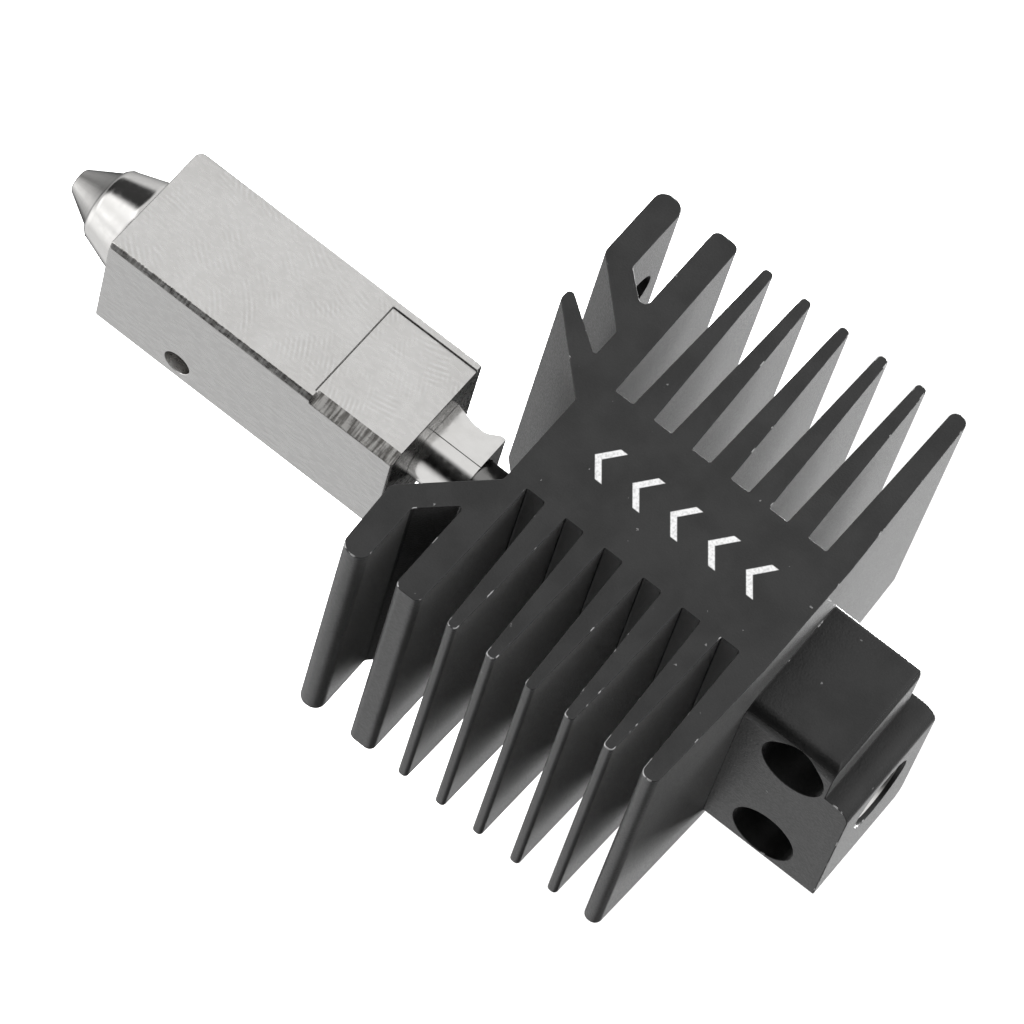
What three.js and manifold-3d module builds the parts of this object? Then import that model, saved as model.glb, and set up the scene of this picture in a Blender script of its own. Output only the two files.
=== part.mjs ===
// Hotend assembly for a desktop 3-D printer: finned heatsink, heat break, heater block and nozzle.
// Millimetres. +Z runs up along the filament axis, and Z = 0 is the nozzle tip.
// X = 0, Y = 0 is the filament axis. The flat front of the fins faces -Y.

import * as THREE from 'three';
import { mergeVertices } from 'three/addons/utils/BufferGeometryUtils.js';
import Module from 'manifold-3d';

const wasm = await Module();
wasm.setup();

// ---- Driving dimensions ----

const FIN_PITCH = 2.0;
const THIN_FIN_COUNT = 5;
const SPINE_HALF_WIDTH = 3.0;
const TIP_PLUS = 10.0;
const TIP_MINUS = -11.8;
const FRONT_Y = -8.75;
const BACK_Y = 5.95;

const FIRST_THIN_FIN_Z = 26.4;
const SPINE_BOTTOM_Z = 23.95;
const THIN_ROOT_HALF = 0.53;
const THIN_TIP_HALF = 0.24;
const THICK_FIN_LOW_Z = 23.53;
const THICK_FIN_HIGH_TIP_Z = 24.8;
const THICK_FIN_EXTRA = 0.05;
const ELBOW_TIP_RISE = 0.15;
const ELBOW_LOW_Z = 20.66;
const ELBOW_HIGH_Z = 21.98;
const PLUS_LEG_ROOT_X = 3.3;
const PLUS_SLOT_BEND_X = 6.86;
const PLUS_SLOT_END_X = 5.31;
const MINUS_LEG_ROOT_X = -5.21;
const MINUS_LEG_BEND_X = -7.86;
const MINUS_SLOT_BEND_X = -8.08;
const MINUS_SLOT_END_X = -6.62;
const PRONG_GAP_TOP_Z = 23.31;
const PRONG_GAP_X = -3.68;
const PRONG_LOW_Z = 20.63;
const PRONG_TIP_INNER_X = -5.66;
const PRONG_ROOT_X = -1.56;
const ELBOW_HOLE_RADIUS = 1.25;
const ELBOW_HOLE_X = -9.3;
const ELBOW_HOLE_Y = -4.0;
const LAST_FIN_TIP_LOW_Z = 36.02;
const LAST_FIN_TIP_HIGH_Z = 36.82;
const LAST_FIN_ROOT_HIGH_Z = 37.15;
const ROOT_FILLET = 0.08;
const THIN_TIP_ROUND = 0.2;
const THICK_TIP_ROUND = 0.35;
const LAST_TIP_ROUND = 0.38;
const ELBOW_TIP_ROUND = 0.55;
const BEND_OUTER_ROUND = 0.5;
const BEND_INNER_ROUND = 0.3;
const PLUS_SLOT_END_ROUND = 0.12;
const MINUS_SLOT_END_ROUND = 0.28;
const PRONG_GAP_ROUND = 0.12;
const PRONG_TIP_INNER_ROUND = 0.22;
const PRONG_TIP_OUTER_ROUND = 0.3;

const CROWN_HALF_WIDTH = 3.15;
const CROWN_TOP_Z = 43.0;
const CROWN_BASE_Z = 36.4;
const PAD_Y = -5.3;
const LEDGE_Z = 41.7;
const LEDGE_WALL_Y = -3.0;
const CROWN_BACK_Y = 5.4;
const CROWN_FRONT_EDGE_ROUND = 0.75;
const CROWN_BACK_EDGE_ROUND = 0.35;
const CROWN_PLUS_BACK_ROUND = 0.5;
const CROWN_MINUS_BACK_ROUND = 1.1;
const PAD_PLUS_ROUND = 0.85;
const PAD_MINUS_ROUND = 0.25;
const PAD_TOP_EDGE_ROUND = 0.3;
const PAD_TOP_CORNER_ROUND = 0.4;
const LEDGE_FILLET = 0.12;
const SCREW_HOLE_RADIUS = 1.55;
const SCREW_HOLE_OFFSET_Y = 3.35;
const SCREW_HOLE_Z = 39.95;

const FLANGE_RADIUS = 1.7;
const FLANGE_BOTTOM_Z = 41.9;
const SLEEVE_RADIUS = 1.45;
const SLEEVE_BOTTOM_Z = 26.0;
const SLEEVE_SINK = 0.18;
const SLEEVE_EDGE_CHAMFER = 0.1;
const SLEEVE_FUNNEL = 0.5;
const NECK_TUBE_RADIUS = 1.2;
const NECK_SHOULDER_RISE = 0.1;
const NECK_SHOULDER_HEIGHT = 0.15;
const FILAMENT_RADIUS = 1.0;
const ORIFICE_RADIUS = 0.3;
const FIT_GAP = 0.04;

const BLOCK_WIDTH = 6.2;
const BLOCK_DEPTH = 6.3;
const BLOCK_BOTTOM_Z = 3.75;
const BLOCK_TOP_Z = 18.98;
const BLOCK_STEP_Z = 14.47;
const BLOCK_STEP_DEPTH = 0.12;
const BLOCK_STEP_LOW_X = -2.7;
const BLOCK_STEP_HIGH_X = 2.6;
const BLOCK_CHAMFER = 0.22;
const BLOCK_FACET_WIDTH = 0.95;
const BLOCK_FACET_DEPTH = 0.4;
const BLOCK_FACET_LIP = 0.1;
const BLOCK_EDGE_ROUND = 0.2;
const BLOCK_END_ROUND = 0.12;
const BLOCK_NOSE_ROUND = 0.45;
const SENSOR_HOLE_RADIUS = 0.65;
const SENSOR_HOLE_DEPTH = 2.4;
const SENSOR_HOLE_Y = 1.96;
const SENSOR_HOLE_Z = 8.12;
const COLLAR_TOP_Z = 21.5;
const COLLAR_RADIUS = 1.42;
const COLLAR_FLAT_Y = -1.38;
const COLLAR_FOOT_X = -1.8;
const COLLAR_WAIST_X = -1.5;
const COLLAR_LIP_X = -1.85;
const COLLAR_GROOVE_X = -0.06;
const COLLAR_GROOVE_SIZE = 0.09;
const COLLAR_LIP_HEIGHT = 0.25;
const COLLAR_LIP_ROUND = 0.2;
const COLLAR_WAIST_LOW_Z = 20.04;
const COLLAR_WAIST_HIGH_Z = 20.7;
const COLLAR_WAIST_ROUND = 0.7;
const TIP_FLAT_RADIUS = 0.52;
const TIP_EDGE_RADIUS = 0.6;
const TIP_EDGE_Z = 0.06;
const TIP_CONE_RADIUS = 1.42;
const TIP_CONE_Z = 1.45;
const NECK_RADIUS = 1.6;
const NECK_Z = 1.55;
const SHOULDER_LOW_RADIUS = 1.78;
const SHOULDER_LOW_Z = 1.85;
const SHOULDER_EASE = 0.03;
const SHOULDER_EASE_HEIGHT = 0.13;
const SHOULDER_RADIUS = 2.3;
const SHOULDER_Z = 3.45;
const SHOULDER_TOP_EASE = 0.02;
const SHOULDER_TOP_EASE_HEIGHT = 0.15;
const ORIFICE_LENGTH = 0.7;
const MELT_CONE_Z = 2.0;
const NOZZLE_SHANK_RADIUS = 1.9;
const NOZZLE_TOP_Z = 10.5;

// SEAT_GAP keeps faces that touch on the real object just apart.
// OVERRUN carries a cut past the face that it leaves.
const SEAT_GAP = 0.01;
const OVERRUN = 1;
const ARC_STEPS = 4;
const ROUND_SIDES = 40;
const BORE_SIDES = 32;

// ---- Materials ----

const blackAnodised = new THREE.MeshStandardMaterial({ color: 0x2b2b2c, roughness: 0.5, metalness: 0.6 });
const nickelPlate = new THREE.MeshStandardMaterial({ color: 0xc4c2bf, roughness: 0.3, metalness: 0.95 });
const hardSteel = new THREE.MeshStandardMaterial({ color: 0xb0afad, roughness: 0.16, metalness: 1.0 });
const stainless = new THREE.MeshStandardMaterial({ color: 0xc9c8c6, roughness: 0.22, metalness: 1.0 });

// ---- Solids ----

// A closed geometry as a solid that can be joined and cut.
function solidOf(geometry) {
  const bare = geometry.clone();
  bare.deleteAttribute('normal');
  bare.deleteAttribute('uv');
  const merged = mergeVertices(bare, 1e-5);
  const vertProperties = new Float32Array(merged.attributes.position.array);
  const triVerts = new Uint32Array(merged.index.array);
  return new wasm.Manifold(new wasm.Mesh({ numProp: 3, vertProperties, triVerts }));
}

function geometryOf(solid) {
  const mesh = solid.getMesh();
  const geometry = new THREE.BufferGeometry();
  geometry.setAttribute('position', new THREE.BufferAttribute(new Float32Array(mesh.vertProperties), 3));
  geometry.setIndex(new THREE.BufferAttribute(new Uint32Array(mesh.triVerts), 1));
  geometry.computeVertexNormals();
  return geometry;
}

function part(name, solid, material) {
  const mesh = new THREE.Mesh(geometryOf(solid), material);
  mesh.name = name;
  return mesh;
}

// A closed outline through [x, y, radius] corners, each corner rounded by an arc of its radius.
function roundedShape(corners) {
  const shape = new THREE.Shape();
  corners.forEach(([x, y, radius = 0], i) => {
    const corner = new THREE.Vector2(x, y);
    const before = new THREE.Vector2(...corners.at(i - 1));
    const after = new THREE.Vector2(...corners[(i + 1) % corners.length]);
    const toBefore = before.sub(corner).normalize();
    const toAfter = after.sub(corner).normalize();
    const start = corner.clone();
    if (radius > 0) {
      const half = Math.acos(toBefore.dot(toAfter)) / 2;
      start.addScaledVector(toBefore, radius / Math.tan(half));
    }
    if (i === 0) shape.moveTo(start.x, start.y);
    else shape.lineTo(start.x, start.y);
    if (radius === 0) return;
    const half = Math.acos(toBefore.dot(toAfter)) / 2;
    const end = corner.clone().addScaledVector(toAfter, radius / Math.tan(half));
    const inward = toBefore.clone().add(toAfter).normalize();
    const middle = inward.multiplyScalar(radius / Math.sin(half)).add(corner);
    const from = Math.atan2(start.y - middle.y, start.x - middle.x);
    const to = Math.atan2(end.y - middle.y, end.x - middle.x);
    const clockwise = toBefore.cross(toAfter) > 0;
    shape.absarc(middle.x, middle.y, radius, from, to, clockwise);
  });
  shape.closePath();
  return shape;
}

// An outline in X and Z, extruded along Y from its back to its front.
function alongY(shape, backY, frontY) {
  const geometry = new THREE.ExtrudeGeometry(shape, {
    depth: backY - frontY, bevelEnabled: false, curveSegments: ARC_STEPS,
  });
  geometry.rotateX(Math.PI / 2);
  geometry.translate(0, backY, 0);
  return solidOf(geometry);
}

// An outline in Y and Z, extruded along X.
function alongX(shape, lowX, highX) {
  const geometry = new THREE.ExtrudeGeometry(shape, {
    depth: highX - lowX, bevelEnabled: false, curveSegments: ARC_STEPS,
  });
  geometry.rotateX(Math.PI / 2);
  geometry.rotateZ(Math.PI / 2);
  geometry.translate(lowX, 0, 0);
  return solidOf(geometry);
}

// An outline in X and Y, extruded along Z.
function alongZ(shape, lowZ, highZ) {
  const geometry = new THREE.ExtrudeGeometry(shape, {
    depth: highZ - lowZ, bevelEnabled: false, curveSegments: ARC_STEPS,
  });
  geometry.translate(0, 0, lowZ);
  return solidOf(geometry);
}

// A turned solid about the filament axis, from [radius, z] points that start and end on the axis.
function turned(profile, sides = ROUND_SIDES) {
  const points = profile.map(([radius, z]) => new THREE.Vector2(radius, z));
  const geometry = new THREE.LatheGeometry(points, sides);
  geometry.rotateX(Math.PI / 2);
  return solidOf(geometry);
}

function rodZ(radius, lowZ, highZ, x, y) {
  const rod = turned([[0, lowZ], [radius, lowZ], [radius, highZ], [0, highZ]], BORE_SIDES);
  return rod.translate([x, y, 0]);
}

function rodX(radius, lowX, highX, y, z) {
  const geometry = new THREE.CylinderGeometry(radius, radius, highX - lowX, BORE_SIDES);
  geometry.rotateZ(Math.PI / 2);
  geometry.translate((lowX + highX) / 2, y, z);
  return solidOf(geometry);
}

// ---- Heatsink ----

function thinFinZ(index) {
  return FIRST_THIN_FIN_Z + index * FIN_PITCH;
}

// The five thin fins of one side, each a wedge with a round nose. side is +1 or -1.
function thinFinCorners(side, tipX) {
  const corners = [];
  for (let i = 0; i < THIN_FIN_COUNT; i += 1) {
    const z = thinFinZ(i);
    corners.push([side * SPINE_HALF_WIDTH, z - THIN_ROOT_HALF, ROOT_FILLET]);
    corners.push([tipX, z - THIN_TIP_HALF, THIN_TIP_ROUND]);
    corners.push([tipX, z + THIN_TIP_HALF, THIN_TIP_ROUND]);
    corners.push([side * SPINE_HALF_WIDTH, z + THIN_ROOT_HALF, ROOT_FILLET]);
  }
  return corners;
}

// The elbow fin, the thick fin, the thin fins and the last fin on the +X side, going up.
function plusSideCorners() {
  const elbowTip = TIP_PLUS + 3 * THICK_FIN_EXTRA;
  const thickTip = TIP_PLUS + THICK_FIN_EXTRA;
  return [
    [PLUS_LEG_ROOT_X, SPINE_BOTTOM_Z, BEND_INNER_ROUND],
    [PLUS_LEG_ROOT_X + SPINE_BOTTOM_Z - ELBOW_LOW_Z, ELBOW_LOW_Z, BEND_OUTER_ROUND],
    [elbowTip, ELBOW_LOW_Z + ELBOW_TIP_RISE, ELBOW_TIP_ROUND],
    [elbowTip, ELBOW_HIGH_Z, ELBOW_TIP_ROUND],
    [PLUS_SLOT_BEND_X, ELBOW_HIGH_Z, BEND_INNER_ROUND],
    [PLUS_SLOT_END_X, THICK_FIN_LOW_Z, PLUS_SLOT_END_ROUND],
    [thickTip, THICK_FIN_LOW_Z, THICK_TIP_ROUND],
    [thickTip, THICK_FIN_HIGH_TIP_Z, THICK_TIP_ROUND],
    [SPINE_HALF_WIDTH, thinFinZ(-1) + THIN_ROOT_HALF, ROOT_FILLET],
    ...thinFinCorners(1, TIP_PLUS),
    [SPINE_HALF_WIDTH, thinFinZ(THIN_FIN_COUNT) - THIN_ROOT_HALF, ROOT_FILLET],
    [TIP_PLUS, LAST_FIN_TIP_LOW_Z, LAST_TIP_ROUND],
    [TIP_PLUS, LAST_FIN_TIP_HIGH_Z, LAST_TIP_ROUND],
    [SPINE_HALF_WIDTH, LAST_FIN_ROOT_HIGH_Z],
  ];
}

// The same fins on the -X side, going down, with the extra short prong beside the spine.
function minusSideCorners() {
  const thickTip = TIP_MINUS - THICK_FIN_EXTRA;
  const prongTipOuter = PRONG_ROOT_X - (SPINE_BOTTOM_Z - PRONG_LOW_Z);
  return [
    [-SPINE_HALF_WIDTH, LAST_FIN_ROOT_HIGH_Z],
    [TIP_MINUS, LAST_FIN_TIP_HIGH_Z, LAST_TIP_ROUND],
    [TIP_MINUS, LAST_FIN_TIP_LOW_Z, LAST_TIP_ROUND],
    [-SPINE_HALF_WIDTH, thinFinZ(THIN_FIN_COUNT) - THIN_ROOT_HALF, ROOT_FILLET],
    ...thinFinCorners(-1, TIP_MINUS).reverse(),
    [-SPINE_HALF_WIDTH, thinFinZ(-1) + THIN_ROOT_HALF, ROOT_FILLET],
    [thickTip, THICK_FIN_HIGH_TIP_Z, THICK_TIP_ROUND],
    [thickTip, THICK_FIN_LOW_Z, THICK_TIP_ROUND],
    [MINUS_SLOT_END_X, THICK_FIN_LOW_Z, MINUS_SLOT_END_ROUND],
    [MINUS_SLOT_BEND_X, ELBOW_HIGH_Z, BEND_INNER_ROUND],
    [thickTip, ELBOW_HIGH_Z, ELBOW_TIP_ROUND],
    [thickTip, ELBOW_LOW_Z, ELBOW_TIP_ROUND],
    [MINUS_LEG_BEND_X, ELBOW_LOW_Z, BEND_OUTER_ROUND],
    [MINUS_LEG_ROOT_X, PRONG_GAP_TOP_Z, PRONG_GAP_ROUND],
    [PRONG_GAP_X, PRONG_GAP_TOP_Z, PRONG_GAP_ROUND],
    [PRONG_TIP_INNER_X, PRONG_LOW_Z, PRONG_TIP_INNER_ROUND],
    [prongTipOuter, PRONG_LOW_Z, PRONG_TIP_OUTER_ROUND],
    [PRONG_ROOT_X, SPINE_BOTTOM_Z, PRONG_GAP_ROUND],
  ];
}

// The stepped block above the fins: a low front pad, a ledge and the raised inlet end.
function crown() {
  const side = roundedShape([
    [CROWN_BACK_Y, CROWN_BASE_Z],
    [CROWN_BACK_Y, CROWN_TOP_Z, CROWN_BACK_EDGE_ROUND],
    [LEDGE_WALL_Y, CROWN_TOP_Z, CROWN_FRONT_EDGE_ROUND],
    [LEDGE_WALL_Y, LEDGE_Z, LEDGE_FILLET],
    [PAD_Y, LEDGE_Z, PAD_TOP_EDGE_ROUND],
    [PAD_Y, CROWN_BASE_Z],
  ]);
  const plan = roundedShape([
    [-CROWN_HALF_WIDTH, PAD_Y, PAD_MINUS_ROUND],
    [CROWN_HALF_WIDTH, PAD_Y, PAD_PLUS_ROUND],
    [CROWN_HALF_WIDTH, CROWN_BACK_Y, CROWN_PLUS_BACK_ROUND],
    [-CROWN_HALF_WIDTH, CROWN_BACK_Y, CROWN_MINUS_BACK_ROUND],
  ]);
  const padFace = roundedShape([
    [-CROWN_HALF_WIDTH, CROWN_BASE_Z],
    [CROWN_HALF_WIDTH, CROWN_BASE_Z],
    [CROWN_HALF_WIDTH, LEDGE_Z],
    [-CROWN_HALF_WIDTH, LEDGE_Z, PAD_TOP_CORNER_ROUND],
  ]);
  const raisedFace = roundedShape([
    [-CROWN_HALF_WIDTH, CROWN_BASE_Z],
    [CROWN_HALF_WIDTH, CROWN_BASE_Z],
    [CROWN_HALF_WIDTH, CROWN_TOP_Z],
    [-CROWN_HALF_WIDTH, CROWN_TOP_Z],
  ]);
  const walls = alongZ(plan, CROWN_BASE_Z - OVERRUN, CROWN_TOP_Z + OVERRUN);
  const faces = alongY(raisedFace, CROWN_BACK_Y, LEDGE_WALL_Y).add(alongY(padFace, CROWN_BACK_Y, PAD_Y));
  return alongX(side, -CROWN_HALF_WIDTH - OVERRUN, CROWN_HALF_WIDTH + OVERRUN)
    .intersect(walls)
    .intersect(faces);
}

function heatsink() {
  const fins = alongY(roundedShape([...plusSideCorners(), ...minusSideCorners()]), BACK_Y, FRONT_Y);
  const holeReach = CROWN_HALF_WIDTH + OVERRUN;
  const slotMiddleZ = (ELBOW_HIGH_Z + THICK_FIN_LOW_Z) / 2;
  const elbowHole = rodZ(ELBOW_HOLE_RADIUS, ELBOW_LOW_Z - OVERRUN, slotMiddleZ, ELBOW_HOLE_X, ELBOW_HOLE_Y);
  const bore = turned([
    [0, SPINE_BOTTOM_Z - OVERRUN],
    [SLEEVE_RADIUS + FIT_GAP, SPINE_BOTTOM_Z - OVERRUN],
    [SLEEVE_RADIUS + FIT_GAP, FLANGE_BOTTOM_Z],
    [FLANGE_RADIUS + FIT_GAP, FLANGE_BOTTOM_Z],
    [FLANGE_RADIUS + FIT_GAP, CROWN_TOP_Z + OVERRUN],
    [0, CROWN_TOP_Z + OVERRUN],
  ]);
  return fins
    .add(crown())
    .subtract(rodX(SCREW_HOLE_RADIUS, -holeReach, holeReach, -SCREW_HOLE_OFFSET_Y, SCREW_HOLE_Z))
    .subtract(rodX(SCREW_HOLE_RADIUS, -holeReach, holeReach, SCREW_HOLE_OFFSET_Y, SCREW_HOLE_Z))
    .subtract(elbowHole)
    .subtract(bore);
}

// ---- Heat break ----

// The bright liner that the filament enters, with a funnel at its mouth.
function inletSleeve() {
  const top = CROWN_TOP_Z - SLEEVE_SINK;
  return turned([
    [FILAMENT_RADIUS, SLEEVE_BOTTOM_Z + FIT_GAP],
    [SLEEVE_RADIUS, SLEEVE_BOTTOM_Z + FIT_GAP],
    [SLEEVE_RADIUS, FLANGE_BOTTOM_Z + FIT_GAP],
    [FLANGE_RADIUS, FLANGE_BOTTOM_Z + FIT_GAP],
    [FLANGE_RADIUS, top - SLEEVE_EDGE_CHAMFER],
    [FLANGE_RADIUS - SLEEVE_EDGE_CHAMFER, top],
    [FILAMENT_RADIUS + SLEEVE_FUNNEL, top],
    [FILAMENT_RADIUS, top - 2 * SLEEVE_FUNNEL],
    [FILAMENT_RADIUS, SLEEVE_BOTTOM_Z + FIT_GAP],
  ]);
}

// The thin tube that crosses the gap, with a thicker stub held in the heatsink.
function heatBreakTube() {
  const low = NOZZLE_TOP_Z + FIT_GAP;
  const high = SLEEVE_BOTTOM_Z;
  const shoulder = SPINE_BOTTOM_Z + NECK_SHOULDER_RISE;
  return turned([
    [FILAMENT_RADIUS, low],
    [NECK_TUBE_RADIUS, low],
    [NECK_TUBE_RADIUS, shoulder],
    [SLEEVE_RADIUS, shoulder + NECK_SHOULDER_HEIGHT],
    [SLEEVE_RADIUS, high],
    [FILAMENT_RADIUS, high],
    [FILAMENT_RADIUS, low],
  ]);
}

// The collar on top of the heater block: round on one side, a waisted boss with a flat front on the other.
// A narrow groove runs up the line where the flat meets the round side.
function heatBreakCollar() {
  const low = BLOCK_TOP_Z + SEAT_GAP;
  const height = COLLAR_TOP_Z - low;
  const barrel = turned([[0, low], [COLLAR_RADIUS, low], [COLLAR_RADIUS, COLLAR_TOP_Z], [0, COLLAR_TOP_Z]]);
  const boss = alongY(roundedShape([
    [COLLAR_FOOT_X, low],
    [COLLAR_WAIST_X, COLLAR_WAIST_LOW_Z, COLLAR_WAIST_ROUND],
    [COLLAR_WAIST_X, COLLAR_WAIST_HIGH_Z, COLLAR_WAIST_ROUND],
    [COLLAR_LIP_X, COLLAR_TOP_Z - COLLAR_LIP_HEIGHT, COLLAR_LIP_ROUND],
    [COLLAR_LIP_X, COLLAR_TOP_Z],
    [0, COLLAR_TOP_Z],
    [0, low],
  ]), -COLLAR_FLAT_Y, COLLAR_FLAT_Y);
  const front = new THREE.BoxGeometry(4 * COLLAR_RADIUS, 2 * OVERRUN, height + 2 * OVERRUN);
  front.translate(0, COLLAR_FLAT_Y - OVERRUN, low + height / 2);
  const groove = new THREE.BoxGeometry(COLLAR_GROOVE_SIZE, COLLAR_GROOVE_SIZE, height + 2 * OVERRUN);
  groove.translate(COLLAR_GROOVE_X, COLLAR_FLAT_Y, low + height / 2);
  return barrel
    .add(boss)
    .subtract(solidOf(front))
    .subtract(solidOf(groove))
    .subtract(rodZ(NECK_TUBE_RADIUS + FIT_GAP, low - OVERRUN, COLLAR_TOP_Z + OVERRUN, 0, 0));
}

// ---- Heater block ----

// A block outline in X and Y with square corners cut by width and depth at the front of the +X side.
function blockPlan(cutWidth, cutDepth) {
  const halfW = BLOCK_WIDTH / 2;
  const halfD = BLOCK_DEPTH / 2;
  return roundedShape([
    [-halfW, -halfD, BLOCK_EDGE_ROUND],
    [halfW - cutWidth, -halfD],
    [halfW, -halfD + cutDepth],
    [halfW, halfD, BLOCK_EDGE_ROUND],
    [-halfW, halfD, BLOCK_EDGE_ROUND],
  ]);
}

// The block has a thin chamfer along its front edge, which widens to a facet beside the shallow step.
function heaterBlock() {
  const halfW = BLOCK_WIDTH / 2;
  const halfD = BLOCK_DEPTH / 2;
  const facetPlan = blockPlan(BLOCK_FACET_WIDTH, BLOCK_FACET_DEPTH);
  const stepHeight = BLOCK_TOP_Z - BLOCK_STEP_Z + OVERRUN;
  const step = new THREE.BoxGeometry(BLOCK_STEP_HIGH_X - BLOCK_STEP_LOW_X, 2 * BLOCK_STEP_DEPTH, stepHeight);
  step.translate((BLOCK_STEP_LOW_X + BLOCK_STEP_HIGH_X) / 2, -halfD, BLOCK_STEP_Z + stepHeight / 2);
  const holeEnd = halfW - SENSOR_HOLE_DEPTH;
  const sensorHole = rodX(SENSOR_HOLE_RADIUS, holeEnd, halfW + OVERRUN, SENSOR_HOLE_Y, SENSOR_HOLE_Z);
  const bore = turned([
    [0, BLOCK_BOTTOM_Z - OVERRUN],
    [NOZZLE_SHANK_RADIUS + FIT_GAP, BLOCK_BOTTOM_Z - OVERRUN],
    [NOZZLE_SHANK_RADIUS + FIT_GAP, NOZZLE_TOP_Z + FIT_GAP],
    [NECK_TUBE_RADIUS + FIT_GAP, NOZZLE_TOP_Z + FIT_GAP],
    [NECK_TUBE_RADIUS + FIT_GAP, BLOCK_TOP_Z + OVERRUN],
    [0, BLOCK_TOP_Z + OVERRUN],
  ]);
  const face = alongY(roundedShape([
    [-halfW, BLOCK_BOTTOM_Z, BLOCK_NOSE_ROUND],
    [halfW, BLOCK_BOTTOM_Z, BLOCK_END_ROUND],
    [halfW, BLOCK_TOP_Z, BLOCK_END_ROUND],
    [-halfW, BLOCK_TOP_Z, BLOCK_END_ROUND],
  ]), halfD, -halfD);
  return alongZ(blockPlan(BLOCK_CHAMFER, BLOCK_CHAMFER), BLOCK_BOTTOM_Z, BLOCK_STEP_Z + BLOCK_FACET_LIP)
    .add(alongZ(facetPlan, BLOCK_STEP_Z, BLOCK_TOP_Z))
    .intersect(face)
    .subtract(solidOf(step))
    .subtract(sensorHole)
    .subtract(bore);
}

// ---- Nozzle ----

// The tip cone, a small neck, the wide shoulder and the shank inside the block, round the filament path.
function nozzle() {
  const seat = BLOCK_BOTTOM_Z - SEAT_GAP;
  return turned([
    [ORIFICE_RADIUS, 0],
    [TIP_FLAT_RADIUS, 0],
    [TIP_EDGE_RADIUS, TIP_EDGE_Z],
    [TIP_CONE_RADIUS, TIP_CONE_Z],
    [NECK_RADIUS, NECK_Z],
    [SHOULDER_LOW_RADIUS - SHOULDER_EASE, SHOULDER_LOW_Z - SHOULDER_EASE_HEIGHT],
    [SHOULDER_LOW_RADIUS, SHOULDER_LOW_Z],
    [SHOULDER_RADIUS - SHOULDER_TOP_EASE, SHOULDER_Z - SHOULDER_TOP_EASE_HEIGHT],
    [SHOULDER_RADIUS, SHOULDER_Z],
    [SHOULDER_RADIUS, seat],
    [NOZZLE_SHANK_RADIUS, seat],
    [NOZZLE_SHANK_RADIUS, NOZZLE_TOP_Z],
    [FILAMENT_RADIUS, NOZZLE_TOP_Z],
    [FILAMENT_RADIUS, MELT_CONE_Z],
    [ORIFICE_RADIUS, ORIFICE_LENGTH],
    [ORIFICE_RADIUS, 0],
  ]);
}

// ---- Assembly ----

const hotend = new THREE.Group();
hotend.add(
  part('heatsink', heatsink(), blackAnodised),
  part('inlet_sleeve', inletSleeve(), stainless),
  part('heat_break_tube', heatBreakTube(), stainless),
  part('heat_break_collar', heatBreakCollar(), nickelPlate),
  part('heater_block', heaterBlock(), nickelPlate),
  part('nozzle', nozzle(), hardSteel),
);

export default hotend;
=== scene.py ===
import math

import bmesh
import bpy
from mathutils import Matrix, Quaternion, Vector


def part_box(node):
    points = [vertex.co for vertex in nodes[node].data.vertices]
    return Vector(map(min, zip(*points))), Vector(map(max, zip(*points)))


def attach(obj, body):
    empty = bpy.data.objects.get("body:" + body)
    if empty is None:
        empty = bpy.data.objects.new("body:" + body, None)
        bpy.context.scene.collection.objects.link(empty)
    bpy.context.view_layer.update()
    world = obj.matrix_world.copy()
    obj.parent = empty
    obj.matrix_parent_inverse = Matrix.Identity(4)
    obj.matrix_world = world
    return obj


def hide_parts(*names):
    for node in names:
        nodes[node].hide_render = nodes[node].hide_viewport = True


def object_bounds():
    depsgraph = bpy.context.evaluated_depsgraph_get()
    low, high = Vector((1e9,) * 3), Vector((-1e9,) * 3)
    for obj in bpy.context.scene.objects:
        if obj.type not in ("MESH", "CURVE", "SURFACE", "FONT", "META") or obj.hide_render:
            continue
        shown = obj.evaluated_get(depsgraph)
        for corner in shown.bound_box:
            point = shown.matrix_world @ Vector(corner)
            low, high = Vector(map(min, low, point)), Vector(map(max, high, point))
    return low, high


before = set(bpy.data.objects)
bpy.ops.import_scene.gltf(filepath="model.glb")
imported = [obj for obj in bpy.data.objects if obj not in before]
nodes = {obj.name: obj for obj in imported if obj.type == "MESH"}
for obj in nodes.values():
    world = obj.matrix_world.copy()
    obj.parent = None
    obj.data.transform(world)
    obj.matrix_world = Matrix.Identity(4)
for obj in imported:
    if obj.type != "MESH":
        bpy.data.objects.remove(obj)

MM = 0.001

cad_low, cad_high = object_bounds()
sink_low, sink_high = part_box("heatsink")


# ---- Camera ----

CAMERA_AIM = Vector((0.0, 0.0, 23.5)) * MM
CAMERA_DISTANCE = 280.7 * MM
CAMERA_AZIMUTH = math.radians(25.96)
CAMERA_ELEVATION = math.radians(9.49)
CAMERA_ROLL = math.radians(127.5)
CAMERA_LENS = 235.4
CAMERA_CLIP_START = 0.01
CAMERA_CLIP_END = 100.0


def make_camera():
    camera = bpy.data.objects.new("camera", bpy.data.cameras.new("camera"))
    bpy.context.collection.objects.link(camera)
    level = math.cos(CAMERA_ELEVATION)
    back = Vector((
        math.sin(CAMERA_AZIMUTH) * level,
        -math.cos(CAMERA_AZIMUTH) * level,
        math.sin(CAMERA_ELEVATION),
    ))
    camera.location = CAMERA_AIM + back * CAMERA_DISTANCE
    camera.rotation_mode = "QUATERNION"
    upright = (-back).to_track_quat("-Z", "Y")
    camera.rotation_quaternion = upright @ Quaternion((0.0, 0.0, 1.0), CAMERA_ROLL)
    camera.data.lens = CAMERA_LENS
    camera.data.clip_start = CAMERA_CLIP_START
    camera.data.clip_end = CAMERA_CLIP_END
    bpy.context.scene.camera = camera


# ---- Materials ----

# A noise takes its cells per millimetre and its detail. A ramp takes the two values between which it changes.
# A bump takes its strength and its height in millimetres.


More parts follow.
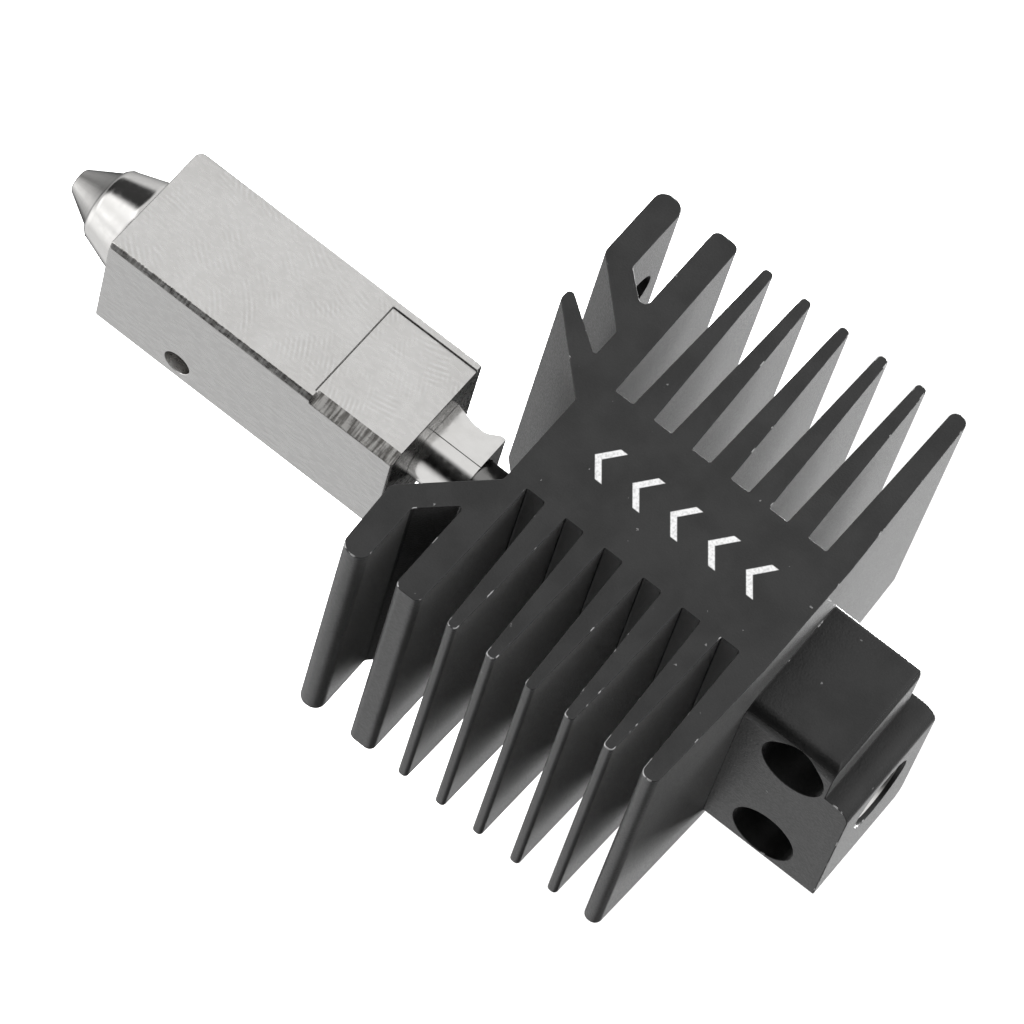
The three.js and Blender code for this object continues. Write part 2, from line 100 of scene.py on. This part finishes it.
class Graph:
    """The node tree of one material, with positions in millimetres of the row frame."""

    def __init__(self, name):
        self.material = bpy.data.materials.new(name)
        self.material.use_nodes = True
        self.tree = self.material.node_tree
        self.shader = self.tree.nodes["Principled BSDF"]
        here = self.add("ShaderNodeTexCoord").outputs["Object"]
        self.mm = self.add("ShaderNodeVectorMath", {0: here, "Scale": 1 / MM}, operation="SCALE").outputs[0]
        axes = self.add("ShaderNodeSeparateXYZ", {0: self.mm}).outputs
        self.x, self.y, self.z = axes
        facing = self.add("ShaderNodeNewGeometry").outputs["Normal"]
        self.nx, self.ny = self.add("ShaderNodeSeparateXYZ", {0: facing}).outputs[:2]

    def add(self, kind, inputs=None, **settings):
        node = self.tree.nodes.new(kind)
        for key, value in settings.items():
            setattr(node, key, value)
        for key, value in (inputs or {}).items():
            self.put(node.inputs[key], value)
        return node

    def put(self, socket, value):
        if isinstance(value, bpy.types.NodeSocket):
            self.tree.links.new(value, socket)
        else:
            socket.default_value = value

    def set(self, **values):
        for key, value in values.items():
            self.put(self.shader.inputs[key.replace("_", " ")], value)

    def math(self, operation, *values):
        inputs = dict(enumerate(values))
        return self.add("ShaderNodeMath", inputs, operation=operation).outputs[0]

    def noise(self, scale, detail=2.0, stretch=(1.0, 1.0, 1.0)):
        where = self.add("ShaderNodeVectorMath", {0: self.mm, 1: stretch}, operation="MULTIPLY").outputs[0]
        inputs = {"Vector": where, "Scale": scale, "Detail": detail}
        return self.add("ShaderNodeTexNoise", inputs).outputs["Fac"]

    def ramp(self, value, low, high, start=0.0, end=1.0):
        """start where value is at or below low, end where it is at or above high, smooth between."""
        inputs = {"Value": value, "From Min": low, "From Max": high, "To Min": start, "To Max": end}
        return self.add("ShaderNodeMapRange", inputs, interpolation_type="SMOOTHSTEP").outputs[0]

    def near(self, value, centre, half, blur):
        """1 where value is within half of centre, 0 further off."""
        off = self.math("ABSOLUTE", self.math("SUBTRACT", value, centre))
        return self.ramp(off, half - blur, half + blur, 1.0, 0.0)

    def mix(self, factor, first, second):
        node = self.add("ShaderNodeMix", data_type="RGBA")
        self.put(node.inputs["Factor"], factor)
        for socket, value in zip(node.inputs[6:8], (first, second)):
            self.put(socket, value)
        return node.outputs[2]

    def waves(self, centre, frequency):
        """Rings about a point, as a height from -1 to 1."""
        far = self.add("ShaderNodeVectorMath", {0: self.mm, 1: centre}, operation="DISTANCE").outputs["Value"]
        return self.math("SINE", self.math("MULTIPLY", far, frequency))

    def bump(self, height, strength, depth_mm):
        inputs = {"Height": height, "Strength": strength, "Distance": depth_mm * MM}
        return self.add("ShaderNodeBump", inputs).outputs[0]


def grey(value, warmth=0.0):
    """A linear colour of that brightness. A positive warmth takes a little out of the blue."""
    return (value, value * (1 - warmth * 0.4), value * (1 - warmth), 1.0)


ANODISED_DARK = grey(0.008)
ANODISED_LIGHT = grey(0.014)
BARE_ALUMINIUM = grey(0.5)
FRONT_FACING = (-0.95, -0.9)
FRONT_MARGIN = 0.1

# The arrowheads of the marking, in millimetres of the row frame.
MARK_START = 25.9
MARK_PITCH = 1.95
MARK_COUNT = 5
MARK_SHIFT = 0.1
MARK_HALF_WIDTH = (0.87, 0.92)
MARK_SLOPE = 0.75
MARK_POINT = 0.35
MARK_HALF_STROKE = 0.17
MARK_BLUR = 0.03


def arrow_mark(graph):
    """A row of plain arrowheads on the front of the spine, pointing along the filament's way."""
    across = graph.math("ABSOLUTE", graph.math("ADD", graph.x, MARK_SHIFT))
    along = graph.math("SUBTRACT", graph.z, MARK_START)
    cell = graph.math("FLOORED_MODULO", along, MARK_PITCH)
    arm = graph.math("MULTIPLY_ADD", across, MARK_SLOPE, MARK_POINT)
    stroke = graph.near(graph.math("SUBTRACT", cell, arm), 0.0, MARK_HALF_STROKE, MARK_BLUR)
    inside = graph.ramp(across, *MARK_HALF_WIDTH, 1.0, 0.0)
    length = MARK_PITCH * MARK_COUNT
    span = graph.near(along, length / 2, length / 2, 0.01)
    front = graph.ramp(graph.ny, *FRONT_FACING, 1.0, 0.0)
    foremost = graph.math("LESS_THAN", graph.y, sink_low.y / MM + FRONT_MARGIN)
    on_front = graph.math("MULTIPLY", front, foremost)
    arrow = graph.math("MULTIPLY", stroke, inside)
    return graph.math("MULTIPLY", arrow, graph.math("MULTIPLY", span, on_front))


DUST_LIGHT = grey(0.16)
DUST_COVER = (0.735, 0.76)


def anodised(name):
    """Black anodised aluminium: fine grain, faint blotches, a little dust and the light marking."""
    graph = Graph(name)
    grain = graph.noise(11.0, 3.0)
    blotch = graph.noise(0.45, 3.0)
    black = graph.mix(graph.ramp(blotch, 0.35, 0.65), ANODISED_DARK, ANODISED_LIGHT)
    dust = graph.ramp(graph.noise(2.6, 4.0), *DUST_COVER)
    black = graph.mix(dust, black, DUST_LIGHT)
    mark = arrow_mark(graph)
    fleck = graph.ramp(graph.noise(9.0), 0.3, 0.6, 0.5, 0.68)
    etched = graph.add("ShaderNodeCombineColor", {0: fleck, 1: fleck, 2: fleck}).outputs[0]
    graph.set(
        Base_Color=graph.mix(mark, black, etched),
        Roughness=graph.ramp(grain, 0.3, 0.7, 0.28, 0.42),
        Specular_IOR_Level=0.4,
        Sheen_Weight=0.25,
        Sheen_Roughness=0.3,
        Normal=graph.bump(grain, 0.8, 0.017),
    )
    return graph.material


# Where the rubbing grows: towards the fins' tips, and towards the inlet end.
TIP_WEAR = (0.9, 0.3)
TIP_WEAR_GAIN = 0.17
END_WEAR = (7.0, 5.5)
END_WEAR_GAIN = 0.03


def worn_edge(name):
    """The rounded edges of the anodised part: black, rubbed bright in places and most at the fins' tips."""
    graph = Graph(name)
    middle = (sink_low.x + sink_high.x) / 2 / MM
    reach = (sink_high.x - sink_low.x) / 2 / MM
    outward = graph.math("ABSOLUTE", graph.math("SUBTRACT", graph.x, middle))
    at_tip = graph.ramp(outward, reach - TIP_WEAR[0], reach - TIP_WEAR[1], 0.0, TIP_WEAR_GAIN)
    top = sink_high.z / MM
    at_end = graph.ramp(graph.z, top - END_WEAR[0], top - END_WEAR[1], 0.0, END_WEAR_GAIN)
    spread = graph.math("ADD", graph.noise(1.9, 4.0), graph.math("ADD", at_tip, at_end))
    rubbed = graph.ramp(spread, 0.66, 0.7)
    graph.set(
        Base_Color=graph.mix(rubbed, ANODISED_LIGHT, BARE_ALUMINIUM),
        Metallic=rubbed,
        Roughness=graph.ramp(graph.noise(8.0), 0.3, 0.7, 0.3, 0.5),
        Normal=graph.bump(graph.noise(6.0, 3.0), 0.5, 0.02),
    )
    return graph.material


PLATE_LIGHT = 0.58
RING_CENTRES = ((-9.0, 0.0, 15.0), (6.5, 0.0, 4.0))
RING_FREQUENCIES = (27.0, 31.0)
# The +X part of a face's direction, for the facet and chamfer, for the chamfer alone and for the +X side that
# is painted darker as shade.
CHAMFER_FACING = 0.52
CHAMFER_SPREAD = 0.26
CHAMFER_ALONE = (0.45, 0.6)
PAINTED_SHADE_FACING = (0.8, 0.95)


def milled(name):
    """Nickel-plated copper with the fine arcs of a face mill, and rougher cross marks on its chamfer."""
    graph = Graph(name)
    patch = graph.ramp(graph.noise(0.35, 2.0), 0.4, 0.6)
    first, second = (graph.waves(*ring) for ring in zip(RING_CENTRES, RING_FREQUENCIES))
    swirl = graph.add("ShaderNodeMix", {"Factor": patch}, data_type="FLOAT")
    graph.put(swirl.inputs[2], first)
    graph.put(swirl.inputs[3], second)
    fade = graph.ramp(graph.noise(0.9, 3.0), 0.45, 0.7)
    marks = graph.math("MULTIPLY", swirl.outputs[0], fade)
    grain = graph.noise(7.0, 4.0, (1.0, 1.0, 0.35))
    chamfer = graph.near(graph.nx, CHAMFER_FACING, CHAMFER_SPREAD, 0.03)
    chamfer = graph.math("MULTIPLY", chamfer, graph.math("LESS_THAN", graph.ny, -0.6))
    cuts = graph.noise(2.5, 3.0, (0.3, 0.3, 3.0))
    flat_height = graph.math("MULTIPLY_ADD", marks, 0.1, grain)
    height = graph.add("ShaderNodeMix", {"Factor": chamfer}, data_type="FLOAT")
    graph.put(height.inputs[2], flat_height)
    graph.put(height.inputs[3], graph.math("MULTIPLY", cuts, 3.0))
    stain = graph.ramp(graph.noise(0.5, 4.0), 0.35, 0.7)
    # Painted shade: faces turned towards +X get a darker plate colour, standing in for the shade on that
    # side.
    painted_side_shade = graph.ramp(graph.nx, *PAINTED_SHADE_FACING)
    plate = graph.mix(stain, grey(PLATE_LIGHT, 0.035), grey(PLATE_LIGHT * 0.9, 0.045))
    plate = graph.mix(graph.ramp(marks, -0.6, 0.9), plate, grey(PLATE_LIGHT * 1.05, 0.02))
    plate = graph.mix(painted_side_shade, plate, grey(PLATE_LIGHT * 0.7, 0.02))
    cut_tone = graph.ramp(cuts, 0.38, 0.6)
    facet_tone = graph.mix(cut_tone, grey(0.2, 0.09), grey(0.62, 0.05))
    chamfer_tone = graph.mix(cut_tone, grey(0.6, 0.05), grey(0.95, 0.03))
    marked = graph.mix(graph.ramp(graph.nx, *CHAMFER_ALONE), facet_tone, chamfer_tone)
    graph.set(
        Base_Color=graph.mix(chamfer, plate, marked),
        Metallic=1.0,
        Roughness=graph.ramp(grain, 0.3, 0.7, 0.24, 0.36),
        Normal=graph.bump(height.outputs[0], 0.22, 0.01),
    )
    return graph.material


def turned_metal(name, light, rough_low, rough_high, groove_depth):
    """Steel from a lathe: fine rings round the filament axis, on a nearly mirror-bright skin."""
    graph = Graph(name)
    line = graph.noise(9.0, 2.0, (0.02, 0.02, 1.0))
    smear = graph.noise(0.8, 3.0, (1.0, 1.0, 0.5))
    graph.set(
        Base_Color=graph.mix(graph.ramp(smear, 0.4, 0.7), grey(light, 0.03), grey(light * 0.92, 0.04)),
        Metallic=1.0,
        Roughness=graph.ramp(graph.noise(3.0, 4.0), 0.3, 0.7, rough_low, rough_high),
        Normal=graph.bump(line, 0.25, groove_depth),
    )
    return graph.material


# ---- Pieces ----

# Angles between neighbouring faces, in degrees: from BEVEL_ANGLE up an edge is rounded, and from the crease
# up it is shaded as sharp. The block's crease is below the 22.5 degrees of each step in its small arcs, so
# that its facet stays flat.
BEVEL_ANGLE = 32.0
BEVEL_STEPS = 3
USUAL_CREASE = 24.0
BLOCK_CREASE = 20.0
COLLAR_CREASE = 14.0
NOZZLE_CREASE = 40.0
WELD_MM = 0.0005
FLAT_ANGLE = 0.5


def refined(node, name, edge_mm, materials, crease=USUAL_CREASE):
    """A finer copy of a CAD node: whole flat faces, rounded edges and smooth curves."""
    shape = bmesh.new()
    shape.from_mesh(nodes[node].data)
    bmesh.ops.scale(shape, vec=(1 / MM,) * 3, verts=shape.verts)
    bmesh.ops.remove_doubles(shape, verts=shape.verts, dist=WELD_MM)
    flat = math.radians(FLAT_ANGLE)
    bmesh.ops.dissolve_limit(shape, angle_limit=flat, verts=shape.verts, edges=shape.edges)
    if edge_mm > 0:
        least = math.radians(BEVEL_ANGLE)
        sharp = [e for e in shape.edges if e.is_manifold and e.calc_face_angle(0.0) > least]
        bmesh.ops.bevel(
            shape, geom=sharp, offset=edge_mm, offset_type="OFFSET", segments=BEVEL_STEPS, profile=0.5,
            affect="EDGES", clamp_overlap=False, material=len(materials) - 1,
        )
    for edge in shape.edges:
        edge.smooth = edge.is_manifold and edge.calc_face_angle(0.0) < math.radians(crease)
    bmesh.ops.scale(shape, vec=(MM,) * 3, verts=shape.verts)
    for face in shape.faces:
        face.smooth = True
    mesh = bpy.data.meshes.new(name)
    shape.to_mesh(mesh)
    shape.free()
    for material in materials:
        mesh.materials.append(material)
    piece = bpy.data.objects.new(name, mesh)
    bpy.context.collection.objects.link(piece)
    normals = piece.modifiers.new("flat_faces", "WEIGHTED_NORMAL")
    normals.keep_sharp = True
    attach(piece, "root")
    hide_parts(node)
    return piece


def make_pieces():
    black, worn = anodised("black_anodised"), worn_edge("worn_anodised_edge")
    plated = milled("milled_nickel_plate")
    polished = turned_metal("polished_steel", 0.64, 0.1, 0.2, 0.003)
    dark = turned_metal("heat_darkened_steel", 0.2, 0.12, 0.22, 0.003)
    hardened = turned_metal("hardened_steel", 0.56, 0.12, 0.22, 0.005)
    refined("heatsink", "finned_heatsink", 0.045, [black, worn])
    refined("heater_block", "milled_heater_block", 0.05, [plated], BLOCK_CREASE)
    refined("heat_break_collar", "waisted_collar", 0.0, [polished], COLLAR_CREASE)
    refined("heat_break_tube", "heat_break_thin_tube", 0.0, [dark])
    refined("inlet_sleeve", "filament_inlet_sleeve", 0.0, [polished])
    refined("nozzle", "turned_nozzle", 0.0, [hardened], NOZZLE_CREASE)


# ---- Floor and light ----

FLOOR_DROP = 30 * MM
FLOOR_HALF = 40.0
FLOOR_GLOW = 0.2
ROOM_DIM = 0.1
ROOM_DARK = 0.06
# Each patch: its direction, the cosine of the angle off it where the patch fades out, the cosine where it is
# full, and for a light patch its brightness.
LIGHT_PATCHES = (
    (Vector((-0.72, -0.68, 0.1)).normalized(), -0.3, 0.75, 1.0),
    (Vector((0.7, 0.55, -0.45)).normalized(), 0.5, 0.88, 1.0),
    (Vector((0.38, -0.6, -0.7)).normalized(), 0.82, 0.94, 1.3),
    (Vector((0.35, 0.1, -0.93)).normalized(), 0.78, 0.95, 0.8),
)
DARK_PATCHES = (
    (Vector((0.7, -0.7, 0.05)).normalized(), 0.78, 0.93),
    (Vector((-0.43, 0.89, 0.2)).normalized(), 0.86, 0.97),
    (Vector((-0.45, -0.45, -0.78)).normalized(), 0.84, 0.95),
)
KEY_FROM = Vector((-0.62, -0.35, 0.7)).normalized()
KEY_ENERGY = 2.5
KEY_ANGLE = math.radians(40)
PANEL_FROM = Vector((-0.8, 0.56, 0.14)).normalized()
PANEL_DISTANCE = 0.4
PANEL_SIDE = 0.2
PANEL_ENERGY = 5.0


def make_floor():
    mesh = bpy.data.meshes.new("floor")
    level = cad_low.z - FLOOR_DROP
    corners = [(x * FLOOR_HALF, y * FLOOR_HALF, level) for x, y in ((-1, -1), (1, -1), (1, 1), (-1, 1))]
    mesh.from_pydata(corners, [], [(0, 1, 2, 3)])
    floor = bpy.data.objects.new("floor", mesh)
    bpy.context.collection.objects.link(floor)
    pale = bpy.data.materials.new("pale_floor")
    pale.use_nodes = True
    shader = pale.node_tree.nodes["Principled BSDF"]
    shader.inputs["Base Color"].default_value = grey(0.93)
    shader.inputs["Roughness"].default_value = 0.9
    shader.inputs["Specular IOR Level"].default_value = 0.1
    shader.inputs["Emission Color"].default_value = grey(1.0)
    shader.inputs["Emission Strength"].default_value = FLOOR_GLOW
    mesh.materials.append(pale)
    floor.visible_glossy = False


def make_room():
    """A dim room with soft bright and dark patches for the metal to reflect, and a white backdrop."""
    world = bpy.data.worlds.new("studio")
    bpy.context.scene.world = world
    world.use_nodes = True
    tree = world.node_tree
    where = tree.nodes.new("ShaderNodeTexCoord").outputs["Generated"]

    def patch(side, edge, full, start, end):
        """start away from that side, end within it."""
        dot = tree.nodes.new("ShaderNodeVectorMath")
        dot.operation = "DOT_PRODUCT"
        dot.inputs[1].default_value = side
        tree.links.new(where, dot.inputs[0])
        ramp = tree.nodes.new("ShaderNodeMapRange")
        ramp.interpolation_type = "SMOOTHSTEP"
        for socket, number in zip(("From Min", "From Max", "To Min", "To Max"), (edge, full, start, end)):
            ramp.inputs[socket].default_value = number
        tree.links.new(dot.outputs["Value"], ramp.inputs["Value"])
        return ramp.outputs[0]

    def combine(operation, first, second):
        node = tree.nodes.new("ShaderNodeMath")
        node.operation = operation
        tree.links.new(first, node.inputs[0])
        tree.links.new(second, node.inputs[1])
        return node.outputs[0]

    room = tree.nodes.new("ShaderNodeValue").outputs[0]
    room.default_value = ROOM_DIM
    for side, edge, full, light in LIGHT_PATCHES:
        room = combine("ADD", room, patch(side, edge, full, 0.0, light))
    for side, edge, full in DARK_PATCHES:
        room = combine("MULTIPLY", room, patch(side, edge, full, 1.0, ROOM_DARK))
    seen = tree.nodes.new("ShaderNodeLightPath").outputs["Is Camera Ray"]
    room = combine("MAXIMUM", room, seen)
    tree.links.new(room, tree.nodes["Background"].inputs["Color"])


def make_lamp(name, kind, direction, **settings):
    lamp = bpy.data.objects.new(name, bpy.data.lights.new(name, kind))
    bpy.context.collection.objects.link(lamp)
    lamp.rotation_mode = "QUATERNION"
    lamp.rotation_quaternion = (-direction).to_track_quat("-Z", "Y")
    for key, value in settings.items():
        setattr(lamp.data, key, value)
    return lamp


def make_light():
    make_room()
    key = make_lamp("key", "SUN", KEY_FROM, energy=KEY_ENERGY, angle=KEY_ANGLE)
    key.visible_glossy = False
    middle = (cad_low + cad_high) / 2
    panel = make_lamp("panel", "AREA", PANEL_FROM, shape="SQUARE", size=PANEL_SIDE, energy=PANEL_ENERGY)
    panel.location = middle + PANEL_FROM * PANEL_DISTANCE


make_camera()
make_pieces()
make_floor()
make_light()
bpy.context.scene.view_settings.view_transform = "Standard"
